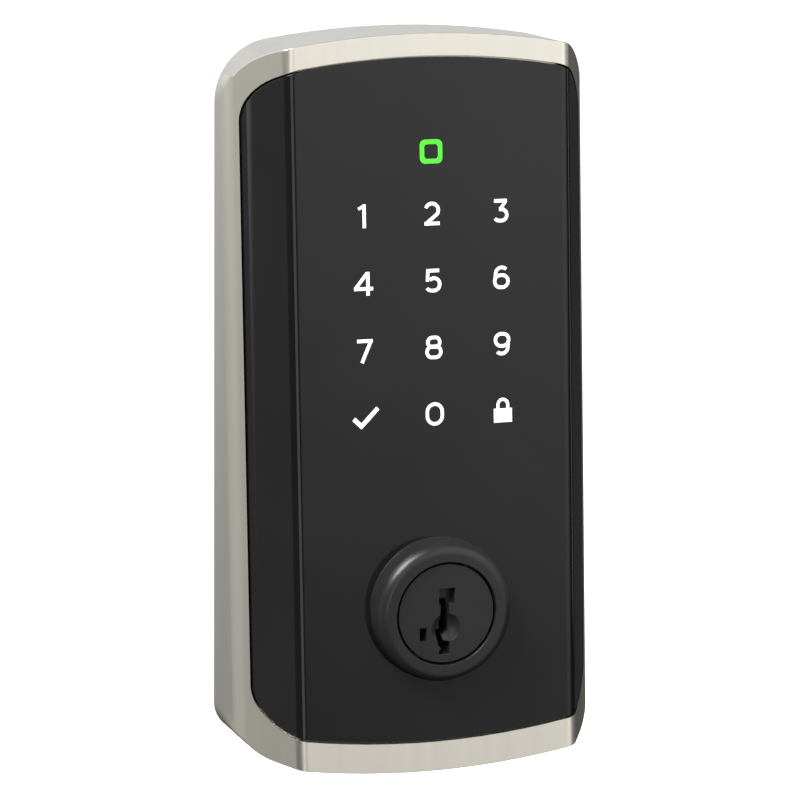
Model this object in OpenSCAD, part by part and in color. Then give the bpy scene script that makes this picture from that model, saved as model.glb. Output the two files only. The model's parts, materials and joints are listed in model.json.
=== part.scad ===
// Exterior unit of a keypad smart lock: a die-cast escutcheon with an inlaid touch panel and a
// key cylinder that drives a flat tailpiece through the door.
// The origin is where the key cylinder's axis meets the door face. X is to the right of someone
// facing the lock, Y points into the door and Z is up.

/* [Body] */
// Half of the width across the side walls
half_width = 38.1; // [36:0.1:48]
// Height of the arched top end above the cylinder axis
top_height = 113.7; // [108:0.5:140]
// Depth of the arched bottom end below the cylinder axis
bottom_depth = 33; // [29:0.5:40]
// Radius of the arched top and bottom ends
arch_radius = 176; // [140:1:260]
// Corner radius at the top
top_corner = 12.5; // [8:0.5:16]
// Corner radius at the bottom
bottom_corner = 6.5; // [5:0.5:12]
// Distance from the door to the front face along the cylinder axis
front_depth = 28.1; // [27:0.1:36]
// Angle by which the front face leans back towards the door at the top
lean = 4.35; // [0:0.05:5]
// Distance from the middle to each crease of the front face
crease_x = 29.3; // [26:0.1:34]
// Depth of the side facets behind the front face
facet_depth = 14.3; // [10:0.1:16]
// Radius of the rounded crease
crease_round = 2.7; // [1:0.1:4]
// Radius that blends a side facet into its side wall
blend_round = 9; // [4:0.5:12]
// Thickness of the side and end walls
side_wall = 2.6; // [2:0.1:3.5]
// Thickness of the front wall behind the touch panel
front_wall = 2.4; // [2:0.1:3]
// Gap between the body's rear edge and the door
rear_gap = 0.5; // [0.3:0.1:1]

/* [Touch panel] */
// Thickness of the touch panel
panel_thick = 1.8; // [1.4:0.1:2.4]
// Width of the metal rim beside the panel
rim_side = 2.5; // [2:0.1:4]
// Height of the metal rim above the panel
rim_top = 4.7; // [4:0.1:7]
// Height of the metal rim below the panel
rim_bottom = 6.3; // [4:0.1:8]
// Corner radius of the panel at the top
panel_corner_top = 11; // [8:0.5:14]
// Corner radius of the panel at the bottom
panel_corner_bottom = 9; // [6:0.5:12]
// Gap around the panel
panel_gap = 0.4; // [0.2:0.05:0.6]
// Thickness of the adhesive gasket behind the panel
gasket_thick = 0.2; // [0.1:0.05:0.4]

/* [Keypad] */
// Distance between the columns of keys
column_pitch = 14.5; // [11:0.1:15.5]
// Distance between the rows of keys
row_pitch = 13.25; // [11:0.05:14]
// Height of the top row above the cylinder axis, along the front face
top_row = 78.7; // [74:0.1:82]
// Height of the status light above the cylinder axis, along the front face
light_height = 90.9; // [88:0.1:94]
// Height of a digit
digit_height = 4.65; // [4:0.05:6]
// Width of a digit's strokes
stroke = 0.7; // [0.5:0.05:1]
// Side of the square status light
light_size = 4.7; // [3.5:0.1:6]
// Depth of the light windows in the panel
window_depth = 0.6; // [0.3:0.1:1]

/* [Circuit board] */
// Margin of the circuit board beyond the keypad's window at each side
board_lap = 2.5; // [1.5:0.1:2.6]
// Margin of the circuit board beyond the keypad's window, above and below
board_margin = 7; // [6:0.5:8]
// Thickness of the circuit board
board_thick = 1.2; // [0.8:0.1:1.6]
// Width of the keypad's window in the front wall
keypad_window = 37; // [34:0.5:38]
// Depth of the cover behind the circuit board
cover_depth = 5.5; // [4.5:0.1:6]

/* [Key cylinder] */
// Radius of the plug's face
plug_face = 10; // [9.6:0.1:12]
// How far the plug's face overhangs its body
plug_lap = 0.6; // [0.4:0.05:0.8]
// Radial running clearance of the plug in its housing
plug_clear = 0.05; // [0.02:0.01:0.1]
// Outer radius of the trim ring
ring_radius = 14.2; // [13.5:0.1:16.6]
// How much smaller the cylinder housing's radius is than the trim ring's
ring_step = 0.8; // [0.5:0.1:1]
// How far the trim ring stands in front of the front face
ring_height = 5.3; // [3:0.1:8]
// Gap between the plug's face and the trim ring
ring_gap = 0.35; // [0.2:0.05:0.5]
// How far the plug's face sits behind the ring's face
plug_recess = 0.4; // [0:0.1:1]
// Distance between the key pins
pin_pitch = 3.8; // [3.4:0.1:4]
// Radius of a key pin
pin_radius = 1.25; // [1:0.05:1.3]
// Travel of a key pin
pin_travel = 2.2; // [1.5:0.1:2.4]
// Distance that the tailpiece reaches behind the door face
tail_length = 42; // [30:1:60]

/* [Door mounting] */
// Thickness of the back plate
plate_thick = 2; // [1.5:0.1:2.5]
// Thickness of the door seal behind the back plate
seal_thick = 2.2; // [1.8:0.1:3]
// Outer radius of the hub that enters the door's cross bore
hub_radius = 26; // [25.5:0.1:26.5]
// Wall of the hub
hub_wall = 2; // [1.5:0.1:2.2]
// Length of the hub behind the door face
hub_length = 9; // [6:0.5:15]
// Distance between the two mounting posts
post_spacing = 39; // [38:0.5:40]
// Radius of a mounting post
post_radius = 3.4; // [3:0.1:3.6]
// Radius of a post's threaded hole
post_thread = 2.1; // [1.6:0.1:2.2]
// Length of the posts behind the door face
post_length = 16; // [12:0.5:20]

/* [Hidden] */
$fn = 64;
eps = 0.01;

// Colours
nickel = [0.76, 0.74, 0.69];
gloss_black = [0.10, 0.10, 0.11];
satin_black = [0.17, 0.17, 0.18];
white_light = [0.97, 0.97, 0.97];
green_light = [0.25, 0.95, 0.15];
board_green = [0.08, 0.32, 0.18];
steel = [0.70, 0.70, 0.72];
brass = [0.80, 0.66, 0.36];
rubber = [0.12, 0.12, 0.12];

// A round overlaps the edges that it joins by this much, so that they cross cleanly
round_lap = 0.006;

// The angle of the side facets, and lengths that reach past the whole body
facet_angle = atan2(facet_depth, half_width - crease_x);
reach = front_depth + 20;
tall = 2 * (top_height + bottom_depth);
recess_depth = panel_thick + gasket_thick;
wall_back = recess_depth + front_wall;
// Distance from the door to the front face, at a height z on the body
function face_y(z) = -front_depth + z * tan(lean);

// Keypad
key_size = [9, 8];
window_top = light_height + light_size / 2 + 1;
window_bottom = top_row - 3 * row_pitch - key_size[1] / 2 - 3;
window_mid = (window_top + window_bottom) / 2;
window_height = window_top - window_bottom;
board_width = keypad_window + 2 * board_lap;
board_height = window_height + 2 * board_margin;
baffle_clear = 0.2;
board_front = wall_back + eps;
board_back = board_front + board_thick;
board_screw_x = board_width / 2 - 4;
board_screw_z = board_height / 2 - 3.6;
cover_wall = 1.5;
cover_floor = 1.3;

// Key cylinder, from the front to the back
housing_radius = ring_radius - ring_step;
ring_face = -front_depth - ring_height;
plug_front = ring_face + plug_recess;
plug_body = plug_face - plug_lap;
flange_radius = housing_radius + 6;
housing_front = face_y(-ring_radius) + recess_depth - 0.1;
flange_front = face_y(flange_radius) + wall_back + 0.1;
flange_thick = 2.5;
flange_screw_x = housing_radius + 3.2;
housing_back = -(seal_thick + plate_thick) - 0.4;
plug_back = -0.6;
tail_radius = plug_body - 1.4;
clip_thick = 1;
clip_front = housing_back + 0.1;
clip_depth = 0.8;
clip_outer = plug_body + 1.6;
keyway_x = -0.42;
keyway_top = 2.6;
keyway_end = housing_back - 3.4;
pin_first = housing_front + 2;
pin_low = 1.2;
pin_length = 4;
chamber_clear = 0.05;
chamber_top = pin_low + pin_length + pin_travel + 0.6;
spring_radius = pin_radius - 0.4;
spring_length = chamber_top - pin_low - pin_length + 0.2;
pin_bore = 2.6;
cover_strip = [3.6, 0.9];
sidebar_x = 6.6;
sidebar_size = [2.6, 19, 2.4];
seat_radius = 5.6;
seat_front = plug_back - 2.3;
tail_disc = 1.2;
tail_bar = [5, 2.4];

// Door mounting
plate_back = -seal_thick;
plate_front = plate_back - plate_thick;
plate_inset = side_wall + 0.4;
seal_width = 4;
plate_hole = clip_outer + 0.8;
boss_radius = 3.4;
boss_x = 27;
boss_top = top_height - 13.5;
boss_bottom = -bottom_depth + 14;
screw_pilot = 1.3;
post_flange = [5, 2];
grommet_z = housing_radius + 5.1;
grommet_hole = [9, 4.4];
grommet_neck = 0.8;
grommet_lip = 1;

// ---- Shared shapes ----

// Turns a flat shape drawn in X and Z into a solid between two distances along Y
module along_y(from, to) {
    translate([0, to, 0]) rotate([90, 0, 0]) linear_extrude(to - from) children();
}

// A round bar along Y
module rod_y(r, from, to, x = 0, z = 0) {
    translate([x, to, z]) rotate([90, 0, 0]) cylinder(r = r, h = to - from);
}

// Frame of the front face: X across, Y inwards from the face, Z up along the face
module on_face() {
    translate([0, -front_depth, 0]) rotate([-lean, 0, 0]) children();
}

// A plate parallel to the front face, between two depths behind it
module face_plate(width, height, from, to, z) {
    translate([-width / 2, from, z - height / 2]) cube([width, to - from, height]);
}

// The upper half of a rounded outline: an arch between two rounded corners, above z = 0.
// w is its half width, rise its height at the middle, ra the arch's radius and r the corners'
module arched_end(w, rise, ra, r) {
    corner = [w - r, rise - ra + sqrt(pow(ra - r, 2) - pow(w - r, 2))];
    turn = atan2(corner[0], corner[1] - rise + ra);
    beyond = [0, rise - ra] + (ra + 5) * [sin(turn), cos(turn)];
    translate([-w, -1]) square([2 * w, corner[1] + 1]);
    intersection() {
        translate([0, rise - ra]) circle(ra, $fn = 360);
        polygon([
            [corner[0], 0], corner, beyond, [0, rise + 5],
            [-beyond[0], beyond[1]], [-corner[0], corner[1]], [-corner[0], 0]
        ]);
    }
    for (s = [-1, 1])
        translate([s * corner[0], corner[1]]) circle(r + round_lap);
}

// The body's outline seen from the front, with its edges moved inwards
module outline(side, top, bottom, r_top, r_bottom) {
    arched_end(half_width - side, top_height - top, arch_radius - top, r_top);
    mirror([0, 1])
        arched_end(half_width - side, bottom_depth - bottom, arch_radius - bottom, r_bottom);
}

// Everything that lies deeper than a given depth behind the front face, its creases and its
// facets, and further in than a given distance from the side walls
module behind_face(depth, side) {
    edge_x = crease_x - depth * tan(facet_angle / 2);
    wall_x = half_width - side + 0.01;
    wall_y = depth + (wall_x - edge_x) * tan(facet_angle);
    t1 = crease_round * tan(facet_angle / 2);
    t2 = blend_round * tan((90 - facet_angle) / 2);
    along = [cos(facet_angle), sin(facet_angle)];
    side_points = [
        [edge_x - t1, depth], [edge_x, depth] + t1 * along,
        [wall_x, wall_y] - t2 * along, [wall_x, wall_y + t2], [wall_x, reach]
    ];
    on_face() translate([0, 0, -tall / 2]) linear_extrude(tall) union() {
        polygon(concat(side_points, [for (i = [4:-1:0]) [-side_points[i][0], side_points[i][1]]]));
        for (s = [-1, 1]) {
            translate([s * (edge_x - t1), depth + crease_round]) circle(crease_round + round_lap);
            translate([s * (wall_x - blend_round), wall_y + t2]) circle(blend_round + round_lap);
        }
    }
}

// The outline and the front face together, closed at a distance from the door
module body_block(depth, side, top, bottom, r_top, r_bottom, back) {
    intersection() {
        along_y(-reach, back) outline(side, top, bottom, r_top, r_bottom);
        behind_face(depth, side);
    }
}

// The touch panel's outline, grown by a gap, as a block right through the front
module panel_block(grow) {
    along_y(-reach, 0)
        outline(rim_side - grow, rim_top - grow, rim_bottom - grow,
                panel_corner_top + grow, panel_corner_bottom + grow);
}

// A screw along Y with its head at the back and a cross recess
module screw_y(x, z, head_r, head_h, shank_r, length, under_head) {
    translate([x, under_head, z]) difference() {
        union() {
            rotate([-90, 0, 0]) cylinder(r = head_r, h = head_h);
            rotate([90, 0, 0]) cylinder(r = shank_r, h = length);
        }
        for (a = [0, 90])
            rotate([0, a, 0]) translate([-head_r * 0.6, head_h * 0.45, -head_r * 0.12])
                cube([head_r * 1.2, head_h, head_r * 0.24]);
    }
}

// ---- Icons ----

// A straight stroke between two points
module bar(a, b, w = stroke) {
    d = b - a;
    translate(a) rotate(atan2(d[1], d[0])) translate([0, -w / 2]) square([norm(d), w]);
}

// A round stroke about a centre, its middle line at radius r, from one angle to another
module bend(centre, r, from, to, w = stroke) {
    steps = ceil((to - from) / 60);
    translate(centre) intersection() {
        difference() {
            circle(r + w / 2);
            circle(r - w / 2);
        }
        polygon(concat([[0, 0]], [for (i = [0:steps])
            let (a = from + (to - from) * i / steps) 3 * r * [cos(a), sin(a)]]));
    }
}

// A closed loop stroke: two half rings, each moved outwards by g, joined by straight strokes
module oval(centre, r, g) {
    for (s = [-1, 1]) {
        bend(centre + [s * g, 0], r, -s * 90, 180 - s * 90);
        bar(centre + [-g, s * r], centre + [g, s * r]);
    }
}

// The digits, centred on the origin, with their middle lines half a stroke inside the height
hh = digit_height / 2 - stroke / 2;
bowl = hh * 0.68;

module digit_six() {
    oval([0, -hh * 0.39], hh * 0.61, hh * 0.11);
    bar([-hh * 0.612, hh * 0.405], [-hh * 0.7165, -hh * 0.455], stroke * 0.94);
    bend([hh * 0.05, hh * 0.33], hh * 0.67, 45, 180);
}

// The open bowl of a 3 or a 5, r high and wide, from its tail round to an angle at its top
module open_bowl(r, to) {
    bend([0.2, r - hh], r, -90, to);
    bar([-0.25, -hh], [0.2, -hh]);
    bend([-0.25, r - hh], r, 215, 270);
}

module digit(n) {
    if (n == 0) {
        for (s = [-1, 1]) {
            bend([0, s * hh * 0.2], hh * 0.8, 90 - s * 90, 270 - s * 90);
            bar([s * hh * 0.8, -hh * 0.2], [s * hh * 0.8, hh * 0.2]);
        }
    }
    if (n == 1) {
        bar([0.35, -digit_height / 2], [0.35, digit_height / 2]);
        bar([-0.85, hh * 0.72], [0.2, hh], stroke * 0.85);
    }
    if (n == 2) {
        bend([0, hh - bowl], bowl, -36, 160);
        bar([bowl * 0.84, hh - bowl * 1.55], [-bowl * 0.95, -hh]);
        bar([-bowl - 0.25, -hh], [bowl + 0.25, -hh]);
    }
    if (n == 3) {
        bar([-bowl, hh], [bowl, hh]);
        bar([bowl * 0.9, hh], [-0.1, hh * 0.14], stroke * 0.9);
        bar([-0.3, hh * 0.14], [0.2, hh * 0.14]);
        open_bowl(hh * 0.57, 90);
    }
    if (n == 4) {
        bar([0.9, -digit_height / 2], [0.9, digit_height / 2]);
        bar([-hh, -hh * 0.5], [hh, -hh * 0.5]);
        bar([0.8, hh + 0.15], [-hh * 0.9, -hh * 0.5]);
    }
    if (n == 5) {
        bar([-bowl * 0.85, hh], [bowl, hh]);
        bar([-bowl * 0.75, digit_height / 2], [-bowl * 0.85, -0.15]);
        open_bowl(hh * 0.62, 134);
    }
    if (n == 6) digit_six();
    if (n == 7) {
        bar([-bowl - 0.2, hh], [bowl + 0.35, hh]);
        bar([bowl, hh], [-bowl * 0.45, -digit_height / 2]);
    }
    if (n == 8) {
        oval([0, hh * 0.525], hh * 0.475, hh * 0.16);
        oval([0, -hh * 0.45], hh * 0.55, hh * 0.19);
    }
    if (n == 9) rotate(180) digit_six();
}

// A tick
module tick() {
    union() {
        bar([-2.5, -0.1], [-0.65, -1.85], stroke * 1.25);
        bar([-1.2, -1.85], [2.55, 1.85], stroke * 1.25);
    }
}

// A closed padlock
module padlock() {
    translate([-1.95, -2.5]) square([3.9, 2.8]);
    bend([0, 1.05], 1.05, 0, 180, 0.65);
    for (s = [-1, 1])
        bar([s * 1.05, 0], [s * 1.05, 1.05], 0.65);
}

// The keypad's symbols in reading order: 1 to 9, a tick, 0 and a padlock
module key_symbol(i) {
    if (i < 9) digit(i + 1);
    if (i == 9) tick();
    if (i == 10) digit(0);
    if (i == 11) padlock();
}

function key_place(i) = [(i % 3 - 1) * column_pitch, top_row - floor(i / 3) * row_pitch];

// A flat symbol on the front face as a solid between two depths
module inlay(place, from, to) {
    on_face() translate([place[0], to, place[1]]) rotate([90, 0, 0]) linear_extrude(to - from)
        children();
}

// The status light's rounded square loop
module light_loop() {
    r = 1.1;
    half = light_size / 2;
    difference() {
        rounded_square(half, r);
        rounded_square(half - 0.9, r - 0.5);
    }
}

module rounded_square(half, r) {
    square(2 * [half, half - r], center = true);
    square(2 * [half - r, half], center = true);
    for (x = [-1, 1], y = [-1, 1])
        translate([x, y] * (half - r)) circle(r);
}

// ---- Body and touch panel ----

module body_shell() {
    color(nickel) difference() {
        union() {
            difference() {
                body_block(0, 0, 0, 0, top_corner, bottom_corner, -rear_gap);
                body_block(wall_back, side_wall, side_wall, side_wall, top_corner - side_wall,
                           bottom_corner - side_wall, 1);
            }
            intersection() {
                body_block(wall_back - 1, side_wall - 1, side_wall, side_wall,
                           top_corner - side_wall, bottom_corner - side_wall, plate_front - 0.05);
                for (s = [-1, 1], z = [boss_top, boss_bottom])
                    rod_y(boss_radius, -reach, plate_front - 0.05, s * boss_x, z);
            }
            intersection() {
                behind_face(wall_back - 1, side_wall);
                rod_y(flange_radius, -reach, flange_front);
            }
        }
        // Recess for the panel
        intersection() {
            panel_block(panel_gap);
            on_face() translate([-reach, -reach, -tall / 2]) cube([2 * reach, 2 * reach, tall]);
            difference() {
                along_y(-reach, 0) square([4 * half_width, 2 * tall], center = true);
                behind_face(recess_depth, 0);
            }
        }
        // Window for the keypad's lights
        on_face() face_plate(keypad_window, window_height, -1, wall_back + 1, window_mid);
        // Cylinder housing and its screws
        rod_y(housing_radius + 0.15, -reach, 0);
        for (s = [-1, 1])
            rod_y(screw_pilot, flange_front - 4, flange_front + 1, s * flange_screw_x);
        for (s = [-1, 1], z = [boss_top, boss_bottom])
            rod_y(screw_pilot, plate_front - 9, 0, s * boss_x, z);
        board_screw_holes(0.9, recess_depth - 1, wall_back + 1);
    }
}

// Holes along the front face's normal at the corners of the circuit board
module board_screw_holes(r, from, to) {
    for (sx = [-1, 1], sz = [-1, 1])
        on_face() translate([0, 0, window_mid])
            rod_y(r, from, to, sx * board_screw_x, sz * board_screw_z);
}

module touch_panel() {
    color(gloss_black) difference() {
        intersection() {
            panel_block(0);
            behind_face(0, 0);
        }
        behind_face(panel_thick, 0);
        rod_y(ring_radius + 0.2, -reach, 0);
        for (i = [0:11])
            inlay(key_place(i), -1, window_depth) key_symbol(i);
        inlay([0, light_height], -1, window_depth) light_loop();
    }
}

module panel_gasket() {
    color(rubber) difference() {
        intersection() {
            panel_block(-0.6);
            behind_face(panel_thick, 0);
        }
        behind_face(recess_depth, 0);
        on_face() face_plate(keypad_window + 1, window_height + 1, -1, wall_back + 1, window_mid);
        rod_y(ring_radius + 1, -reach, 0);
    }
}

module key_icons() {
    color(white_light)
        for (i = [0:11])
            inlay(key_place(i), 0, window_depth) key_symbol(i);
}

module status_light() {
    color(green_light) inlay([0, light_height], 0, window_depth) light_loop();
}

// ---- Electronics ----

module light_baffle() {
    color(satin_black) on_face() difference() {
        face_plate(keypad_window - 2 * baffle_clear, window_height - 2 * baffle_clear,
                   panel_thick + 0.1, wall_back, window_mid);
        for (i = [0:11])
            translate([key_place(i)[0], 0, 0])
                face_plate(key_size[0], key_size[1], 0, wall_back + 1, key_place(i)[1]);
        face_plate(light_size + 1, light_size + 1, 0, wall_back + 1, light_height);
    }
}

module touch_board() {
    color(board_green) difference() {
        on_face() face_plate(board_width, board_height, board_front, board_back, window_mid);
        board_screw_holes(1.1, board_front - 1, board_back + 1);
    }
}

module key_leds() {
    color(white_light)
        for (i = [0:11])
            on_face() translate([key_place(i)[0], 0, 0])
                face_plate(2.2, 1.4, board_front - 0.7, board_front, key_place(i)[1]);
}

module status_led() {
    color(white_light)
        on_face() face_plate(2, 2, board_front - 0.8, board_front, light_height);
}

// Places a chip on the rear face of the circuit board
module chip(x, z, size, lift) {
    on_face() translate([x, 0, 0]) face_plate(size[0], size[1], board_back, board_back + lift, z);
}

module touch_controller() {
    color(satin_black) chip(-9, window_mid + 12, [7, 7], 1);
}

module board_parts() {
    color(brass) {
        for (i = [0:5])
            chip(-15 + 3.2 * i, window_mid + 2, [1.6, 0.8], 0.6);
        for (i = [0:3])
            chip(-1 + 3 * i, window_mid + 17, [1, 1.8], 0.6);
        chip(3, window_mid + 9, [3, 3], 1.2);
    }
}

module buzzer() {
    color(satin_black) on_face() difference() {
        rod_y(5.5, board_back, board_back + 3.2, 9, window_mid - 12);
        rod_y(0.8, board_back + 2.4, board_back + 4, 9, window_mid - 12);
    }
}

module cable_socket() {
    z = window_bottom + 3;
    color([0.90, 0.88, 0.80]) on_face() difference() {
        face_plate(14, 5, board_back, board_back + cover_depth + 1, z);
        face_plate(12.4, 3.4, board_back + 2, board_back + cover_depth + 2, z);
    }
}

module board_cover() {
    z = window_bottom + 3;
    color(satin_black) difference() {
        on_face() difference() {
            face_plate(board_width + 2, board_height, board_back + 0.1,
                       board_back + cover_depth, window_mid);
            difference() {
                face_plate(board_width + 2 - 2 * cover_wall, board_height - 2 * cover_wall,
                           0, board_back + cover_depth - cover_floor, window_mid);
                for (sx = [-1, 1], sz = [-1, 1])
                    translate([sx * board_screw_x, 0, sz * board_screw_z])
                        rod_y(3, 0, reach, 0, window_mid);
            }
            face_plate(15, 6, 0, reach, z);
        }
        board_screw_holes(1.2, 0, reach);
    }
}

module board_screws() {
    color(steel)
        for (sx = [-1, 1], sz = [-1, 1])
            on_face() screw_y(sx * board_screw_x, window_mid + sz * board_screw_z, 2.1, 1.4, 0.88,
                              cover_depth + board_thick + front_wall - 0.3,
                              board_back + cover_depth);
}

// ---- Key cylinder ----

module trim_ring() {
    r = 1.2;
    color(satin_black) difference() {
        union() {
            rod_y(ring_radius, ring_face + r, housing_front - 0.05);
            rod_y(ring_radius - r, ring_face, ring_face + r + eps);
            translate([0, ring_face + r, 0]) rotate([90, 0, 0])
                rotate_extrude($fn = 96) translate([ring_radius - r, 0]) circle(r, $fn = 32);
        }
        rod_y(plug_face + ring_gap, -reach - ring_height, 0);
    }
}

module cylinder_housing() {
    color(brass) difference() {
        union() {
            rod_y(housing_radius, housing_front, housing_back);
            rod_y(flange_radius, flange_front, flange_front + flange_thick);
        }
        rod_y(plug_body + plug_clear, -reach, 0);
        for (s = [-1, 1])
            rod_y(1.6, -reach, 0, s * flange_screw_x);
    }
}

module housing_screws() {
    color(steel)
        for (s = [-1, 1])
            screw_y(s * flange_screw_x, 0, 2.6, 1.8, screw_pilot - 0.02, flange_thick + 3.5,
                    flange_front + flange_thick);
}

// The warded keyway, seen from the front
module keyway() {
    polygon([
        [-1.2, keyway_top], [0.35, keyway_top], [0.6, 1.6], [0.6, -3.7], [-0.8, -4.5],
        [-0.5, -5.5], [0.85, -5.8], [0.85, -8.3], [-1.4, -8.3], [-1.4, -7.5], [-0.9, -7.1],
        [-1.6, -6.4], [-2.2, -3.3], [-1.2, -3.3]
    ]);
}

module plug() {
    dish = [3, 1];
    dish_sphere = (dish[0] * dish[0] + dish[1] * dish[1]) / (2 * dish[1]);
    color(satin_black) difference() {
        union() {
            rod_y(plug_face, plug_front, housing_front - 0.1);
            rod_y(plug_body, housing_front - 0.1 - eps, housing_back);
            rod_y(tail_radius, housing_back - eps, plug_back);
        }
        along_y(plug_front - 1, keyway_end) keyway();
        // Key stop above the keyway, dished lead-in and slot for the setting tool
        translate([-1.5, plug_front - 1, keyway_top - 0.6]) cube([3.25, 3, 3.1]);
        translate([0, plug_front - dish_sphere + dish[1], -2.95]) sphere(dish_sphere, $fn = 96);
        translate([-5.5, plug_front - 1, -5.3]) cube([1.4, 13, 2.6]);
        // Chambers for the pins and the slot of their cover
        for (i = [0:4])
            translate([keyway_x, pin_first + i * pin_pitch, 0])
                cylinder(r = pin_radius + chamber_clear, h = plug_face);
        translate([keyway_x - cover_strip[0] / 2, pin_first - 2, chamber_top])
            cube([cover_strip[0], 4 * pin_pitch + 4, plug_face]);
        // Sidebar
        translate([sidebar_x, sidebar_front(), -sidebar_size[2] / 2 - 0.1])
            cube([plug_face, sidebar_size[1] + 0.2, sidebar_size[2] + 0.2]);
        for (y = sidebar_spring_places())
            translate([sidebar_x - 2, y, 0]) rotate([0, 90, 0]) cylinder(r = 0.9, h = 4);
        // Groove for the clip and seat for the tailpiece
        difference() {
            rod_y(plug_face, clip_front - 0.02, clip_front + clip_thick + 0.02);
            rod_y(tail_radius - clip_depth, -reach, 0);
        }
        rod_y(seat_radius, seat_front, 1);
    }
}

function sidebar_front() = pin_first - 1.5;
function sidebar_spring_places() = [for (k = [0.25, 0.75]) sidebar_front() + k * sidebar_size[1]];

module spring_cover() {
    color(brass) intersection() {
        translate([keyway_x - cover_strip[0] / 2, pin_first - 2, chamber_top])
            cube([cover_strip[0], 4 * pin_pitch + 4, cover_strip[1]]);
        rod_y(plug_body - 0.03, -reach, 0);
    }
}

module pin_springs() {
    color(steel)
        for (i = [0:4])
            translate([keyway_x, pin_first + i * pin_pitch, chamber_top - spring_length])
                difference() {
                    cylinder(r = spring_radius - 0.05, h = spring_length);
                    translate([0, 0, -1]) cylinder(r = spring_radius - 0.35, h = plug_face);
                }
}

// A hollow key pin with a rounded lower end; the first is nearest the face
module key_pin(i) {
    color(brass) translate([keyway_x, pin_first + i * pin_pitch, pin_low]) difference() {
        union() {
            translate([0, 0, 0.6]) cylinder(r = pin_radius, h = pin_length - 0.6);
            cylinder(r1 = pin_radius - 0.6, r2 = pin_radius, h = 0.6 + eps);
        }
        translate([0, 0, pin_length - pin_bore]) cylinder(r = spring_radius, h = pin_length);
    }
}

module key_pin_1() { key_pin(0); }
module key_pin_2() { key_pin(1); }
module key_pin_3() { key_pin(2); }
module key_pin_4() { key_pin(3); }
module key_pin_5() { key_pin(4); }

module sidebar() {
    color(steel) intersection() {
        translate([sidebar_x, sidebar_front() + 0.1, -sidebar_size[2] / 2])
            cube(sidebar_size);
        rod_y(plug_body - 0.03, -reach, 0);
    }
}

module sidebar_springs() {
    color(steel)
        for (y = sidebar_spring_places())
            translate([sidebar_x - 1.95, y, 0]) rotate([0, 90, 0]) difference() {
                cylinder(r = 0.8, h = 1.9);
                translate([0, 0, -1]) cylinder(r = 0.5, h = 4);
            }
}

module plug_clip() {
    color(steel) difference() {
        rod_y(clip_outer, clip_front, clip_front + clip_thick);
        rod_y(tail_radius - clip_depth + 0.03, -reach, 0);
        translate([-tail_radius + 1.6, -reach, 0]) cube([2 * (tail_radius - 1.6), reach, reach]);
    }
}

module tailpiece() {
    color(steel) {
        rod_y(seat_radius - 0.08, seat_front + 0.05, seat_front + 0.05 + tail_disc);
        translate([-tail_bar[0] / 2, seat_front + 0.05 + tail_disc - eps, -tail_bar[1] / 2])
            cube([tail_bar[0], tail_length - seat_front - 0.05 - tail_disc, tail_bar[1]]);
    }
}

module tailpiece_ring() {
    color(steel) difference() {
        rod_y(seat_radius, seat_front + tail_disc + 0.15, plug_back);
        rod_y(norm(tail_bar) / 2 + 0.4, -reach, reach);
    }
}

// ---- Door mounting ----

module plate_outline(extra) {
    outline(plate_inset + extra, plate_inset + extra, plate_inset + extra,
            max(top_corner - plate_inset - extra, 0.5),
            max(bottom_corner - plate_inset - extra, 0.5));
}

// An oblong with rounded ends, centred on the grommet
module grommet_shape(grow) {
    w = grommet_hole[0] + 2 * grow;
    h = grommet_hole[1] + 2 * grow;
    translate([0, grommet_z]) {
        square([w - h, h], center = true);
        for (s = [-1, 1])
            translate([s * (w - h) / 2, 0]) circle(h / 2);
    }
}

module back_plate() {
    color(steel) difference() {
        intersection() {
            along_y(plate_front, plate_back) plate_outline(0);
            behind_face(wall_back + 0.3, side_wall + 0.3);
        }
        rod_y(plate_hole, -reach, reach);
        along_y(-reach, reach) grommet_shape(grommet_neck);
        for (s = [-1, 1])
            rod_y(post_radius, -reach, reach, s * post_spacing / 2);
        for (s = [-1, 1], z = [boss_top, boss_bottom])
            rod_y(1.7, -reach, reach, s * boss_x, z);
    }
}

module door_hub() {
    color(steel) difference() {
        rod_y(hub_radius, plate_back, hub_length);
        rod_y(hub_radius - hub_wall, plate_back - 1, hub_length + 1);
    }
}

module back_plate_screws() {
    color(steel)
        for (s = [-1, 1], z = [boss_top, boss_bottom])
            screw_y(s * boss_x, z, 2.8, seal_thick - 0.5, screw_pilot - 0.02, plate_thick + 7,
                    plate_back);
}

module mounting_posts() {
    color(steel)
        for (s = [-1, 1])
            difference() {
                union() {
                    rod_y(post_flange[0], plate_front - post_flange[1], plate_front,
                          s * post_spacing / 2);
                    rod_y(post_radius, plate_front - eps, post_length, s * post_spacing / 2);
                }
                rod_y(post_thread, post_length - 14, post_length + 1, s * post_spacing / 2);
            }
}

module cable_grommet() {
    color(rubber) difference() {
        union() {
            along_y(plate_front - grommet_lip, plate_front) grommet_shape(2);
            along_y(plate_front - eps, plate_back + eps) grommet_shape(grommet_neck);
            along_y(plate_back, plate_back + grommet_lip) grommet_shape(2);
        }
        along_y(-reach, reach) grommet_shape(0);
    }
}

module door_seal() {
    color(rubber) difference() {
        intersection() {
            along_y(plate_back, 0) plate_outline(0.4);
            behind_face(wall_back + 0.3, side_wall + 0.3);
        }
        along_y(plate_back - 1, 1) plate_outline(0.4 + seal_width);
        rod_y(hub_radius + 1.1, -reach, reach);
    }
}

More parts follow.
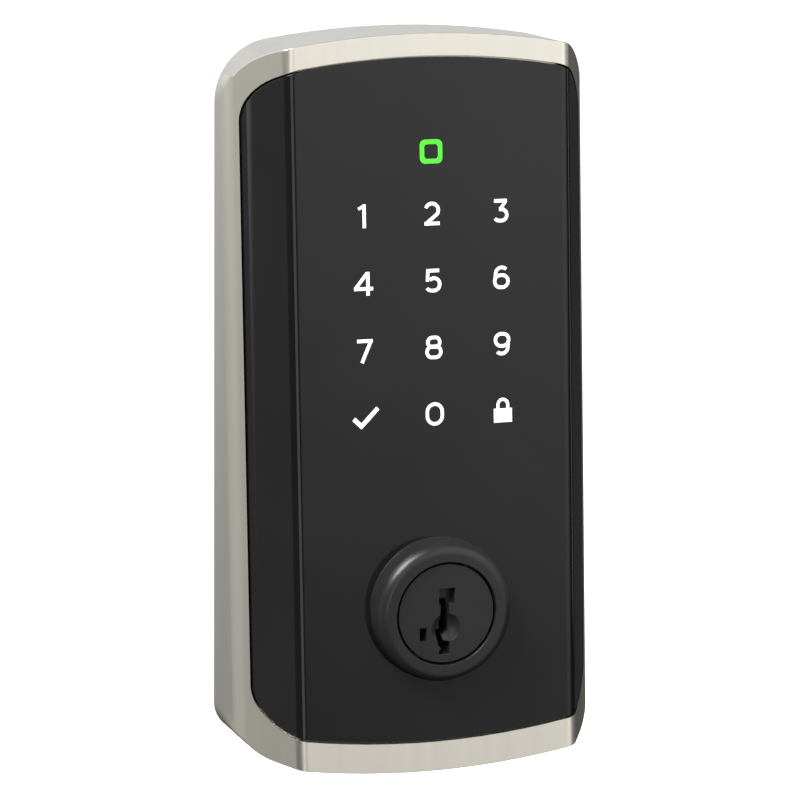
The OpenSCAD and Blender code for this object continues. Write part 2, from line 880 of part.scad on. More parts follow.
body_shell();
touch_panel();
panel_gasket();
key_icons();
status_light();
light_baffle();
touch_board();
key_leds();
status_led();
touch_controller();
board_parts();
buzzer();
cable_socket();
board_cover();
board_screws();
trim_ring();
cylinder_housing();
housing_screws();
plug();
spring_cover();
pin_springs();
sidebar();
sidebar_springs();
plug_clip();
tailpiece();
tailpiece_ring();
key_pin_1();
key_pin_2();
key_pin_3();
key_pin_4();
key_pin_5();
back_plate();
door_hub();
back_plate_screws();
mounting_posts();
cable_grommet();
door_seal();
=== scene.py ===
"""Exterior unit of a keypad door lock: detailed pieces and finishes around its CAD frame.

Every size is in metres, in the frame of the CAD part: X to the right of someone facing the lock,
Y into the door and Z up, with the origin where the key cylinder's axis meets the door face.
"""

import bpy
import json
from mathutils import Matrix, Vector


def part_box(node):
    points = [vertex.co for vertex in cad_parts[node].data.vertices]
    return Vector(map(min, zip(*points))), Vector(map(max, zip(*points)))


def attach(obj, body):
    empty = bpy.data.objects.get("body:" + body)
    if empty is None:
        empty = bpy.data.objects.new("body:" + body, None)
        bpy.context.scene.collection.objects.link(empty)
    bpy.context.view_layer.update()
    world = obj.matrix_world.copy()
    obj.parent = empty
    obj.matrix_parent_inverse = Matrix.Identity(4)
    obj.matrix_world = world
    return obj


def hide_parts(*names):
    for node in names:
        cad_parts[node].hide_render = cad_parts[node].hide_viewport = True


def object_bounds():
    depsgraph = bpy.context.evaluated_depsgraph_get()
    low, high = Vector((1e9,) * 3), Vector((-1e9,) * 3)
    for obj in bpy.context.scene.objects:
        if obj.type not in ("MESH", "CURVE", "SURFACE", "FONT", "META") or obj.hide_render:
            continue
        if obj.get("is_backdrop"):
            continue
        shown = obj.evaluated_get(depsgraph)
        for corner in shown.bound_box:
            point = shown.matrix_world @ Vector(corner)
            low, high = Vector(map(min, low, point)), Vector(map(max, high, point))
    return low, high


bl_info = {
    "name": "Keypad Lock Finisher",
    "version": (1, 0, 0),
    "blender": (4, 5, 0),
    "location": "View3D > Sidebar > Keypad Lock",
    "description": "Adds the body, touch panel, key cylinder and door fittings of a keypad lock",
    "category": "Add Mesh",
}

import json
import math

import bmesh
import bpy
from mathutils import Euler, Matrix, Vector

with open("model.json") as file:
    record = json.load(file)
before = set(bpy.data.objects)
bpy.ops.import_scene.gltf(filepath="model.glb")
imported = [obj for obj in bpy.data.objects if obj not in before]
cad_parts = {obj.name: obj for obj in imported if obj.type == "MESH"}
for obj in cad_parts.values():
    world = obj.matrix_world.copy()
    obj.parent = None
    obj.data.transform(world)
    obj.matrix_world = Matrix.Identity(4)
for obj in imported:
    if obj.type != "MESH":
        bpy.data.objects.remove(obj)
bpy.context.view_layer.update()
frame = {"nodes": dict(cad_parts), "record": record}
MM = 0.001

# Points of a CAD node's mesh closer than this are merged
WELD = 0.012 * MM
# Faces of a CAD node's mesh that meet within this angle, in degrees, become one
FLAT_ANGLE = 0.6
# Edges that turn outwards by more than this angle, in degrees, are rounded
SHARP_ANGLE = 38
# Steps in a full turn of a spun ring and of a coil, and the sides of a coil's wire
SPIN_STEPS = 128
COIL_STEPS = 20
WIRE_SIDES = 8
FLOOR_RADIUS = 12
# Width of the camera's sensor, in millimetres
SENSOR_WIDTH = 36
# The values of a noise between which a material changes
NOISE_LOW = 0.3
NOISE_HIGH = 0.7


# ---- Sizes and colours that a user would change ----


class LOCK_PG_body(bpy.types.PropertyGroup):
    edge_radius: bpy.props.FloatProperty(
        name="Edge radius",
        description="Radius of the casting's outer edges",
        default=0.16 * MM,
        min=0.05 * MM,
        max=0.8 * MM,
        unit="LENGTH",
    )
    nickel: bpy.props.FloatVectorProperty(
        name="Nickel",
        description="Colour of the satin nickel plating",
        default=(0.70, 0.67, 0.59),
        min=0,
        max=1,
        subtype="COLOR",
    )
    nickel_roughness: bpy.props.FloatProperty(
        name="Nickel roughness",
        description="Roughness of the satin nickel plating",
        default=0.37,
        min=0.1,
        max=0.6,
        subtype="FACTOR",
    )


class LOCK_PG_panel(bpy.types.PropertyGroup):
    edge_radius: bpy.props.FloatProperty(
        name="Edge radius",
        description="Radius of the panel's outer edge",
        default=0.12 * MM,
        min=0.05 * MM,
        max=0.5 * MM,
        unit="LENGTH",
    )
    lens: bpy.props.FloatVectorProperty(
        name="Lens",
        description="Colour of the gloss black touch panel",
        default=(0.006, 0.006, 0.0065),
        min=0,
        max=1,
        subtype="COLOR",
    )
    symbol_light: bpy.props.FloatProperty(
        name="Symbol light",
        description="Brightness of the lit digits",
        default=1.0,
        min=0,
        max=5,
    )
    status_colour: bpy.props.FloatVectorProperty(
        name="Status light",
        description="Colour of the status light",
        default=(0.065, 0.95, 0.022),
        min=0,
        max=1,
        subtype="COLOR",
    )


class LOCK_PG_cylinder(bpy.types.PropertyGroup):
    ring_round: bpy.props.FloatProperty(
        name="Ring rounding",
        description="Radius of the trim ring's front outer edge",
        default=2.2 * MM,
        min=0.2 * MM,
        max=3 * MM,
        unit="LENGTH",
    )
    satin_black: bpy.props.FloatVectorProperty(
        name="Satin black",
        description="Colour of the key plug and its trim ring",
        default=(0.016, 0.016, 0.0165),
        min=0,
        max=1,
        subtype="COLOR",
    )


class LOCK_PG_stage(bpy.types.PropertyGroup):
    azimuth: bpy.props.FloatProperty(
        name="Azimuth",
        description="Angle of the camera to the left of the lock's front",
        default=math.radians(20.178),
        subtype="ANGLE",
    )
    elevation: bpy.props.FloatProperty(
        name="Elevation",
        description="Angle of the camera above the lock's middle",
        default=math.radians(11.104),
        subtype="ANGLE",
    )
    roll: bpy.props.FloatProperty(
        name="Roll",
        description="Turn of the camera about its own axis",
        default=math.radians(0.62),
        subtype="ANGLE",
    )
    distance: bpy.props.FloatProperty(
        name="Distance",
        description="Distance of the camera from the point that it looks at",
        default=0.726036,
        unit="LENGTH",
    )
    focal_length: bpy.props.FloatProperty(
        name="Focal length",
        description="Focal length of the camera's lens, in millimetres on a 36 mm sensor",
        default=161.917,
    )
    aim: bpy.props.FloatVectorProperty(
        name="Aim",
        description="Point that the camera looks at",
        default=(-1.815 * MM, -10 * MM, 38.905 * MM),
        subtype="TRANSLATION",
        unit="LENGTH",
    )
    floor_drop: bpy.props.FloatProperty(
        name="Floor drop",
        description="Distance of the floor below the lock",
        default=0.35,
        unit="LENGTH",
    )


# ---- Modelling ----


def only(piece):
    """Selects one object and makes it the active one."""
    if bpy.context.object and bpy.context.object.mode != "OBJECT":
        bpy.ops.object.mode_set(mode="OBJECT")
    bpy.ops.object.select_all(action="DESELECT")
    piece.select_set(True)
    bpy.context.view_layer.objects.active = piece


def apply_modifier(piece, kind, **settings):
    """Adds a modifier to a piece with the given settings, and applies it."""
    only(piece)
    modifier = piece.modifiers.new(kind.title(), kind)
    for name, value in settings.items():
        setattr(modifier, name, value)
    bpy.ops.object.modifier_apply(modifier=modifier.name)


def settle(piece, angle=32):
    """Puts a finished piece's place in its mesh, and smooths its faces up to an angle."""
    only(piece)
    bpy.ops.object.transform_apply(location=True, rotation=True, scale=True)
    bpy.ops.object.shade_smooth_by_angle(angle=math.radians(angle))
    apply_modifier(piece, "WEIGHTED_NORMAL", mode="FACE_AREA", weight=60, keep_sharp=True)
    return piece


def edit(piece):
    """Opens a piece in edit mode."""
    only(piece)
    bpy.ops.object.mode_set(mode="EDIT")


def leave_edit():
    bpy.ops.object.mode_set(mode="OBJECT")


def copy_of_node(cad_name, name):
    """A merged copy of a CAD node, with its flat faces whole."""
    piece = bpy.data.objects.new(name, frame["nodes"][cad_name].data.copy())
    bpy.context.scene.collection.objects.link(piece)
    piece.data.materials.clear()
    only(piece)
    if piece.data.has_custom_normals:
        bpy.ops.mesh.customdata_custom_splitnormals_clear()
    edit(piece)
    bpy.ops.mesh.select_all(action="SELECT")
    bpy.ops.mesh.remove_doubles(threshold=WELD)
    bpy.ops.mesh.dissolve_limited(angle_limit=math.radians(FLAT_ANGLE))
    leave_edit()
    return piece


def select_edges(piece, wanted):
    """Selects the edges for which wanted(edge, angle) holds, and counts them.

    The angle between the edge's two faces is positive where they turn outwards.
    """
    bpy.ops.mesh.select_mode(type="EDGE")
    bpy.ops.mesh.select_all(action="DESELECT")
    shape = bmesh.from_edit_mesh(piece.data)
    count = 0
    for edge in shape.edges:
        if len(edge.link_faces) == 2 and wanted(edge, edge.calc_face_angle_signed(0)):
            edge.select_set(True)
            count += 1
    bmesh.update_edit_mesh(piece.data)
    return count


def soften(piece, radius, segments, where=None):
    """Rounds a piece's sharp outward edges, or only those whose ends where(point) accepts."""
    limit = math.radians(SHARP_ANGLE)

    def wanted(edge, turn):
        if turn < limit:
            return False
        return where is None or all(where(v.co) for v in edge.verts)

    edit(piece)
    if select_edges(piece, wanted):
        bpy.ops.mesh.bevel(
            offset=radius, segments=segments, profile=0.5, clamp_overlap=False, affect="EDGES"
        )
    leave_edit()


def spun_ring(name, inner, outer, front, back, rounds):
    """A ring about the Y axis, spun from a rectangle.

    rounds gives the corners' radii as (outer front, inner front, outer back, inner back).
    """
    bpy.ops.object.select_all(action="DESELECT")
    bpy.ops.mesh.primitive_plane_add(size=1, location=((inner + outer) / 2, (front + back) / 2, 0))
    piece = bpy.context.object
    piece.name = name
    piece.scale = (outer - inner, back - front, 1)
    bpy.ops.object.transform_apply(location=True, rotation=True, scale=True)
    corners = [(outer, front), (inner, front), (outer, back), (inner, back)]
    edit(piece)
    for (x, y), radius in zip(corners, rounds):
        if radius <= 0:
            continue
        bpy.ops.mesh.select_mode(type="VERT")
        bpy.ops.mesh.select_all(action="DESELECT")
        shape = bmesh.from_edit_mesh(piece.data)
        for v in shape.verts:
            v.select_set((v.co - Vector((x, y, 0))).length < 0.01 * MM)
        bmesh.update_edit_mesh(piece.data)
        # A corner's bevel is measured along its edges, which is the round's radius here
        bpy.ops.mesh.bevel(
            offset=radius, segments=8, profile=0.5, clamp_overlap=False, affect="VERTICES"
        )
    bpy.ops.mesh.select_all(action="SELECT")
    bpy.ops.mesh.delete(type="ONLY_FACE")
    bpy.ops.mesh.select_all(action="SELECT")
    bpy.ops.mesh.spin(
        steps=SPIN_STEPS, angle=math.tau, center=(0, 0, 0), axis=(0, 1, 0), use_auto_merge=True
    )
    bpy.ops.mesh.select_all(action="SELECT")
    bpy.ops.mesh.remove_doubles(threshold=0.002 * MM)
    bpy.ops.mesh.normals_make_consistent(inside=False)
    leave_edit()
    return piece


def coil(name, radius, wire, length, turns, place, turn=(0, 0, 0)):
    """A round-wire coil that stands on a place along its own Z axis."""
    bpy.ops.object.select_all(action="DESELECT")
    bpy.ops.mesh.primitive_circle_add(vertices=WIRE_SIDES, radius=wire, location=(radius, 0, 0),
                                      rotation=(math.pi / 2, 0, 0))
    piece = bpy.context.object
    piece.name = name
    bpy.ops.object.transform_apply(location=True, rotation=True, scale=True)
    apply_modifier(piece, "SCREW", axis="Z", angle=math.tau * turns, steps=COIL_STEPS * turns,
                   render_steps=COIL_STEPS * turns, screw_offset=length - 2 * wire,
                   use_merge_vertices=False)
    edit(piece)
    bpy.ops.mesh.select_mode(type="EDGE")
    bpy.ops.mesh.select_all(action="DESELECT")
    bpy.ops.mesh.select_non_manifold(extend=False)
    bpy.ops.mesh.edge_face_add()
    bpy.ops.mesh.select_all(action="SELECT")
    bpy.ops.mesh.normals_make_consistent(inside=False)
    leave_edit()
    piece.data.transform(Matrix.Translation((0, 0, wire)))
    piece.data.transform(Matrix.Translation(place) @ Euler(turn).to_matrix().to_4x4())
    return piece


def joined(pieces, name):
    """Joins pieces into the first one, and names it."""
    only(pieces[0])
    for piece in pieces:
        piece.select_set(True)
    bpy.ops.object.join()
    pieces[0].name = name
    return pieces[0]


def hand_over(piece, body, slot, look, *nodes):
    """Gives a finished piece its material and its body, and hides the CAD nodes that it stands
    for.
    """
    piece.data.materials.clear()
    piece.data.materials.append(look)
    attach(piece, body)
    if nodes:
        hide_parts(*nodes)


def middle(node):
    """The middle of a CAD node's box."""
    low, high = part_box(node)
    return (low + high) / 2


# ---- Effects that several materials use ----


def new_group(name, inputs, outputs):
    """A shader node group with its sockets, and its input and output nodes."""
    group = bpy.data.node_groups.new(name, "ShaderNodeTree")
    for label, kind, value in inputs:
        socket = group.interface.new_socket(label, in_out="INPUT", socket_type=kind)
        socket.default_value = value
    for label, kind in outputs:
        group.interface.new_socket(label, in_out="OUTPUT", socket_type=kind)
    return group, group.nodes.new("NodeGroupInput"), group.nodes.new("NodeGroupOutput")


def node(tree, kind, **settings):
    """Adds a node of a kind to a node tree, with the given settings."""
    made = tree.nodes.new(kind)
    for name, value in settings.items():
        setattr(made, name, value)
    return made


def grain_group():
    """Fine grain and slow drift: a height for a Bump node, and a mask from 0 to 1."""
    group, source, out = new_group(
        "Grain",
        [("Fine Scale", "NodeSocketFloat", 9000.0), ("Drift Scale", "NodeSocketFloat", 60.0),
         ("Stretch", "NodeSocketVector", (1.0, 1.0, 1.0)),
         ("Drift Stretch", "NodeSocketVector", (1.0, 1.0, 1.0))],
        [("Height", "NodeSocketFloat"), ("Drift", "NodeSocketFloat")],
    )
    link = group.links.new
    place = node(group, "ShaderNodeTexCoord")
    stretch = node(group, "ShaderNodeVectorMath", operation="MULTIPLY")
    link(place.outputs["Object"], stretch.inputs[0])
    link(source.outputs["Stretch"], stretch.inputs[1])
    fine = node(group, "ShaderNodeTexNoise")
    fine.inputs["Detail"].default_value = 3
    link(stretch.outputs[0], fine.inputs["Vector"])
    link(source.outputs["Fine Scale"], fine.inputs["Scale"])
    drift = node(group, "ShaderNodeTexNoise")
    drift.inputs["Detail"].default_value = 4
    slow = node(group, "ShaderNodeVectorMath", operation="MULTIPLY")
    link(place.outputs["Object"], slow.inputs[0])
    link(source.outputs["Drift Stretch"], slow.inputs[1])
    link(slow.outputs[0], drift.inputs["Vector"])
    link(source.outputs["Drift Scale"], drift.inputs["Scale"])
    link(fine.outputs[0], out.inputs["Height"])
    link(drift.outputs[0], out.inputs["Drift"])
    return group


def highlight_edge_group():
    """A mask that is 1 along a piece's outward edges, broken up by noise, for a painted edge
    highlight that also stands for worn edges.
    """
    group, source, out = new_group(
        "Worn Edge Highlight",
        [("Radius", "NodeSocketFloat", 0.3 * MM), ("Breakup", "NodeSocketFloat", 500.0)],
        [("Mask", "NodeSocketFloat")],
    )
    link = group.links.new
    bevel = node(group, "ShaderNodeBevel", samples=4)
    link(source.outputs["Radius"], bevel.inputs["Radius"])
    plain = node(group, "ShaderNodeNewGeometry")
    dot = node(group, "ShaderNodeVectorMath", operation="DOT_PRODUCT")
    link(bevel.outputs[0], dot.inputs[0])
    link(plain.outputs["Normal"], dot.inputs[1])
    edge = node(group, "ShaderNodeMapRange", interpolation_type="SMOOTHSTEP")
    # The dot product of the rounded and the plain normal falls from 1 towards an edge
    edge.inputs["From Min"].default_value = 0.99
    edge.inputs["From Max"].default_value = 0.8
    link(dot.outputs["Value"], edge.inputs["Value"])
    place = node(group, "ShaderNodeTexCoord")
    noise = node(group, "ShaderNodeTexNoise")
    link(place.outputs["Object"], noise.inputs["Vector"])
    link(source.outputs["Breakup"], noise.inputs["Scale"])
    patch = node(group, "ShaderNodeMapRange")
    patch.inputs["From Min"].default_value = 0.35
    patch.inputs["From Max"].default_value = 0.7
    link(noise.outputs[0], patch.inputs["Value"])
    both = node(group, "ShaderNodeMath", operation="MULTIPLY")
    link(edge.outputs[0], both.inputs[0])
    link(patch.outputs[0], both.inputs[1])
    link(both.outputs[0], out.inputs["Mask"])
    return group


def turned_group():
    """Rings about the Y axis, as a lathe leaves them: a height for a Bump node."""
    group, source, out = new_group(
        "Turned Rings",
        [("Pitch", "NodeSocketFloat", 9000.0)],
        [("Height", "NodeSocketFloat")],
    )
    link = group.links.new
    place = node(group, "ShaderNodeTexCoord")
    axis = node(group, "ShaderNodeVectorMath", operation="MULTIPLY")
    axis.inputs[1].default_value = (1, 0, 1)
    link(place.outputs["Object"], axis.inputs[0])
    radius = node(group, "ShaderNodeVectorMath", operation="LENGTH")
    link(axis.outputs[0], radius.inputs[0])
    noise = node(group, "ShaderNodeTexNoise", noise_dimensions="1D")
    noise.inputs["Detail"].default_value = 2
    link(radius.outputs["Value"], noise.inputs["W"])
    link(source.outputs["Pitch"], noise.inputs["Scale"])
    link(noise.outputs[0], out.inputs["Height"])
    return group


# The node groups and the materials by name, filled in when the finishes are made
GROUPS = {}
FINISHES = {}


def effect(tree, name, **values):
    """Adds one of the node groups to a material, with the given values."""
    made = tree.nodes.new("ShaderNodeGroup")
    made.node_tree = GROUPS[name]
    for label, value in values.items():
        made.inputs[label.replace("_", " ")].default_value = value
    return made


def spread(tree, mask, low, high, to_low=0.0, to_high=1.0):
    """A value that runs from to_low to to_high as a mask runs from low to high."""
    made = node(tree, "ShaderNodeMapRange")
    for name, value in (("From Min", low), ("From Max", high), ("To Min", to_low),
                        ("To Max", to_high)):
        made.inputs[name].default_value = value
    tree.links.new(mask, made.inputs["Value"])
    return made.outputs[0]


def two_tone(tree, mask, first, second, low=0.0, high=1.0):
    """A colour between two, by a mask that is spread from low to high."""
    mix = node(tree, "ShaderNodeMix", data_type="RGBA")
    tree.links.new(spread(tree, mask, low, high), mix.inputs["Factor"])
    mix.inputs[6].default_value = (*first, 1)
    mix.inputs[7].default_value = (*second, 1)
    return mix.outputs[2]


def bump(tree, height, strength, distance, shader):
    """Bends a shader's normal by a height."""
    made = node(tree, "ShaderNodeBump")
    made.inputs["Strength"].default_value = strength
    made.inputs["Distance"].default_value = distance
    tree.links.new(height, made.inputs["Height"])
    tree.links.new(made.outputs[0], shader.inputs["Normal"])


def finish(name, colour, roughness, metallic=0.0, fine=6000.0, drift=60.0, stretch=(1, 1, 1),
           slow=(1, 1, 1), tint=0.06, vary=0.05, grain=0.1, depth=0.01 * MM, worn_edge_highlight=None,
           worn_edge_highlight_radius=0.25 * MM, rings=None, **sockets):
    """A material with grain, and slow changes of colour and roughness.

    tint and vary are the changes' sizes, drift their scale and slow their stretch. fine and
    stretch do the same for the grain, and grain and depth are its strength and height. The two
    arguments after depth are the colour and the width of lighter outward edges, a painted edge
    highlight that also stands for worn edges. rings is the scale of a lathe's rings, which
    replace the grain. sockets are more inputs of the shader.
    """
    material = bpy.data.materials.new(name)
    material.use_nodes = True
    tree = material.node_tree
    shader = tree.nodes["Principled BSDF"]
    shader.inputs["Metallic"].default_value = metallic
    for label, value in sockets.items():
        shader.inputs[label.replace("_", " ")].default_value = value
    noise = effect(tree, "Grain", Fine_Scale=fine, Drift_Scale=drift, Stretch=stretch,
                   Drift_Stretch=slow)
    dark = [c * (1 - tint) for c in colour]
    light = [min(1, c * (1 + tint)) for c in colour]
    tone = two_tone(tree, noise.outputs["Drift"], dark, light, NOISE_LOW, NOISE_HIGH)
    rough = spread(tree, noise.outputs["Drift"], NOISE_LOW, NOISE_HIGH,
                   roughness - vary, roughness + vary)
    # Lighter colour along the outward edges: a painted highlight that also stands for worn edges
    if worn_edge_highlight:
        edge = effect(tree, "Worn Edge Highlight", Radius=worn_edge_highlight_radius)
        mix = node(tree, "ShaderNodeMix", data_type="RGBA")
        tree.links.new(edge.outputs["Mask"], mix.inputs["Factor"])
        tree.links.new(tone, mix.inputs[6])
        mix.inputs[7].default_value = (*worn_edge_highlight, 1)
        tone = mix.outputs[2]
    tree.links.new(tone, shader.inputs["Base Color"])
    tree.links.new(rough, shader.inputs["Roughness"])
    height = noise.outputs["Height"]
    if rings:
        turned = effect(tree, "Turned Rings", Pitch=rings)
        height = turned.outputs["Height"]
    bump(tree, height, grain, depth, shader)
    return material


def lit_window(name, colour, strength, dim):
    """A window lit from behind, whose glow drifts a little between a colour and a dimmer one."""
    material = bpy.data.materials.new(name)
    material.use_nodes = True
    tree = material.node_tree
    shader = tree.nodes["Principled BSDF"]
    shader.inputs["Roughness"].default_value = 0.22
    shader.inputs["Emission Strength"].default_value = strength
    noise = effect(tree, "Grain", Fine_Scale=2500.0, Drift_Scale=300.0)
    low, high = NOISE_LOW, 0.6
    glow = two_tone(tree, noise.outputs["Drift"], dim, colour, low, high)
    tree.links.new(glow, shader.inputs["Emission Color"])
    shade = two_tone(tree, noise.outputs["Drift"], [c * 0.5 for c in dim],
                     [c * 0.5 for c in colour], low, high)
    tree.links.new(shade, shader.inputs["Base Color"])
    bump(tree, noise.outputs["Height"], 0.05, 0.01 * MM, shader)
    return material


def make_finishes():
    """Makes the node groups and every material."""
    body = bpy.context.scene.lock_body
    panel = bpy.context.scene.lock_panel
    cylinder = bpy.context.scene.lock_cylinder
    GROUPS["Grain"] = grain_group()
    GROUPS["Worn Edge Highlight"] = highlight_edge_group()
    GROUPS["Turned Rings"] = turned_group()
    nickel = tuple(body.nickel)
    black = tuple(cylinder.satin_black)
    # The lighter edge colours below paint a highlight along outward edges, which also stands for
    # worn edges
    FINISHES.update(
        satin_nickel=finish(
            "satin_nickel", nickel, body.nickel_roughness, metallic=1.0, fine=7000.0, drift=420.0,
            slow=(1, 0.2, 0.03), stretch=(1, 1, 0.25), tint=0.022, vary=0.014, grain=0.12,
            depth=0.01 * MM, worn_edge_highlight=[c * 1.12 for c in nickel]),
        black_lens=finish(
            "black_lens", tuple(panel.lens), 0.07, fine=1500.0, drift=40.0, tint=0.15, vary=0.015,
            grain=0.012, depth=0.01 * MM, IOR=1.38),
        white_window=lit_window("white_window", (0.97, 0.97, 0.95), panel.symbol_light,
                                (0.80, 0.81, 0.80)),
        green_window=lit_window("green_window", tuple(panel.status_colour), 1.0,
                                (0.05, 0.80, 0.02)),
        satin_black=finish(
            "satin_black", black, 0.34, fine=5000.0, IOR=1.36, tint=0.1, vary=0.05,
            grain=0.15, depth=0.012 * MM, worn_edge_highlight=(0.03, 0.03, 0.031), worn_edge_highlight_radius=0.15 * MM),
        black_plug=finish(
            "black_plug", black, 0.30, IOR=1.34, tint=0.1, vary=0.05, grain=0.25,
            depth=0.008 * MM, rings=4500.0, worn_edge_highlight=(0.04, 0.04, 0.04), worn_edge_highlight_radius=0.12 * MM),
        black_plastic=finish("black_plastic", (0.02, 0.02, 0.021), 0.5, fine=3000.0, grain=0.35,
                             depth=0.03 * MM),
        ivory_plastic=finish("ivory_plastic", (0.78, 0.74, 0.62), 0.4, fine=2500.0, grain=0.15),
        circuit_board=finish("circuit_board", (0.012, 0.11, 0.045), 0.32, fine=2200.0,
                             drift=250.0, tint=0.25, grain=0.25, depth=0.03 * MM),
        circuit_parts=finish("circuit_parts", (0.36, 0.27, 0.17), 0.45, fine=4000.0, grain=0.2),
        led=finish("led", (0.86, 0.83, 0.55), 0.15, fine=3000.0, grain=0.05, Coat_Weight=0.5),
        rubber=finish("rubber", (0.022, 0.022, 0.023), 0.72, fine=2500.0, tint=0.15, vary=0.08,
                      grain=0.5, depth=0.05 * MM),
        foam=finish("foam", (0.035, 0.035, 0.037), 0.9, fine=1400.0, drift=400.0, tint=0.35,
                    vary=0.06, grain=0.9, depth=0.18 * MM),
        brass=finish("brass", (0.68, 0.48, 0.19), 0.28, metallic=1.0, fine=5000.0, drift=120.0,
                     tint=0.1, vary=0.07, grain=0.2, rings=5000.0, worn_edge_highlight=(0.8, 0.62, 0.3)),
        steel=finish("steel", (0.52, 0.52, 0.54), 0.3, metallic=1.0, fine=5000.0, drift=150.0,
                     tint=0.08, vary=0.07, grain=0.25, stretch=(1, 0.12, 1),
                     worn_edge_highlight=(0.68, 0.68, 0.7)),
        zinc_plated_steel=finish(
            "zinc_plated_steel", (0.60, 0.62, 0.62), 0.36, metallic=1.0, fine=1800.0, drift=90.0,
            tint=0.14, vary=0.09, grain=0.25, depth=0.02 * MM, worn_edge_highlight=(0.74, 0.75, 0.76)),
    )


# ---- Pieces ----


class LOCK_OT_finishes(bpy.types.Operator):
    """Make the materials and give them to the CAD nodes that stay in view"""

    bl_idname = "lock.finishes"
    bl_label = "Finishes"

    def execute(self, context):
        make_finishes()
        slots = {row["node"]: row["material_slot"] for row in frame["record"]["subparts"]}
        for name, cad in frame["nodes"].items():
            cad.data.materials.clear()
            cad.data.materials.append(FINISHES[slots[name]])
        return {"FINISHED"}


class LOCK_OT_body(bpy.types.Operator):
    """Add the die-cast body with softened outer edges"""

    bl_idname = "lock.body"
    bl_label = "Cast body"

    def execute(self, context):
        sizes = context.scene.lock_body
        low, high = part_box("body_shell")
        piece = copy_of_node("body_shell", "body_casting")
        rear = high.y - 0.1 * MM
        # Radius of the arched ends, and a little less than the rim's width round the panel
        arch_radius = 176 * MM
        rim_side, rim_top, rim_bottom = 2 * MM, 4.2 * MM, 5.8 * MM

        def outer_edge(p):
            # The recess for the panel keeps its sharp edge, so that the gap round it stays dark
            drop = p.x * p.x / (2 * arch_radius)
            in_recess = (abs(p.x) < high.x - rim_side and p.z < high.z - drop - rim_top
                         and p.z > low.z + drop + rim_bottom)
            return p.y < rear and not in_recess

        soften(piece, sizes.edge_radius, 4, where=outer_edge)
        settle(piece, 30)
        hand_over(piece, "lock_body", "satin_nickel", FINISHES["satin_nickel"], "body_shell")
        return {"FINISHED"}


class LOCK_OT_panel(bpy.types.Operator):
    """Add the touch panel, its lit symbols and its gasket"""

    bl_idname = "lock.panel"
    bl_label = "Touch panel"

    def execute(self, context):
        sizes = context.scene.lock_panel
        low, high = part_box("key_icons")
        light_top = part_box("status_light")[1].z
        margin = 1 * MM
        ring_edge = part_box("trim_ring")[1].x + margin

        def outside_symbols(p):
            beside = (abs(p.x) > high.x + margin or p.z < low.z - margin
                      or p.z > light_top + margin)
            return beside and math.hypot(p.x, p.z) > ring_edge

        lens = copy_of_node("touch_panel", "lens")
        soften(lens, sizes.edge_radius, 3, where=outside_symbols)
        settle(lens, 30)
        hand_over(lens, "lock_body", "black_lens", FINISHES["black_lens"], "touch_panel")
        symbols = copy_of_node("key_icons", "key_symbols")
        settle(symbols, 40)
        hand_over(symbols, "lock_body", "white_window", FINISHES["white_window"], "key_icons")
        light = copy_of_node("status_light", "status_window")
        settle(light, 40)
        hand_over(light, "lock_body", "green_window", FINISHES["green_window"], "status_light")
        gasket = copy_of_node("panel_gasket", "lens_gasket")
        settle(gasket, 30)
        hand_over(gasket, "lock_body", "rubber", FINISHES["rubber"], "panel_gasket")
        return {"FINISHED"}


class LOCK_OT_cylinder(bpy.types.Operator):
    """Add the trim ring, the key plug and the parts of the key cylinder that show"""

    bl_idname = "lock.cylinder"
    bl_label = "Key cylinder"

    def execute(self, context):
        sizes = context.scene.lock_cylinder
        low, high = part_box("trim_ring")
        plug_low, plug_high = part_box("plug")
        gap = 0.5 * MM
        inner_round, edge_round = 0.12 * MM, 0.05 * MM
        ring = spun_ring("trim_ring_turned", plug_high.x + gap, high.x, low.y, high.y,
                         (sizes.ring_round, inner_round, 0, 0))
        # A skirt round the ring's back closes the panel's hole: how far it reaches inwards and
        # outwards from the ring's side, and forwards and backwards from its back
        skirt_in, skirt_out = 0.5 * MM, 0.17 * MM
        skirt_front, skirt_back = 0.6 * MM, 0.5 * MM
        skirt = spun_ring("ring_skirt", high.x - skirt_in, high.x + skirt_out,
                          high.y - skirt_front, high.y + skirt_back, (edge_round, 0, 0, 0))
        # A collar at the ring's back closes the gap round the plug: its clearance to the plug,
        # how far it reaches into the ring, and its length
        collar_gap, collar_lap, collar_length = 0.08 * MM, 0.3 * MM, 2.6 * MM
        collar = spun_ring("ring_collar", plug_high.x + collar_gap, plug_high.x + gap + collar_lap,
                           high.y - collar_length, high.y, (0, edge_round, 0, 0))
        ring = joined([ring, skirt, collar], "trim_ring_turned")
        settle(ring)
        hand_over(ring, "lock_body", "satin_black", FINISHES["satin_black"], "trim_ring")
        plug = copy_of_node("plug", "key_plug_turned")
        front_part = plug_low.y + 4 * MM
        soften(plug, 0.12 * MM, 2, where=lambda p: p.y < front_part)
        settle(plug)
        hand_over(plug, "key_plug", "satin_black", FINISHES["black_plug"], "plug")
        housing = copy_of_node("cylinder_housing", "cylinder_casting")
        settle(housing)
        hand_over(housing, "lock_body", "brass", FINISHES["brass"], "cylinder_housing")
        for name, piece_name in (("plug_clip", "retaining_clip"), ("tailpiece_ring", "tail_ring")):
            piece = copy_of_node(name, piece_name)
            soften(piece, 0.08 * MM, 2)
            settle(piece)
            hand_over(piece, "key_plug", "steel", FINISHES["steel"], name)
        tail = copy_of_node("tailpiece", "tail_blade")
        soften(tail, 0.18 * MM, 3)
        settle(tail)
        hand_over(tail, "tailpiece", "steel", FINISHES["steel"], "tailpiece")
        for i in range(1, 6):
            pin = copy_of_node(f"key_pin_{i}", f"turned_pin_{i}")
            settle(pin)
            hand_over(pin, f"pin_{i}", "brass", FINISHES["brass"], f"key_pin_{i}")
        return {"FINISHED"}


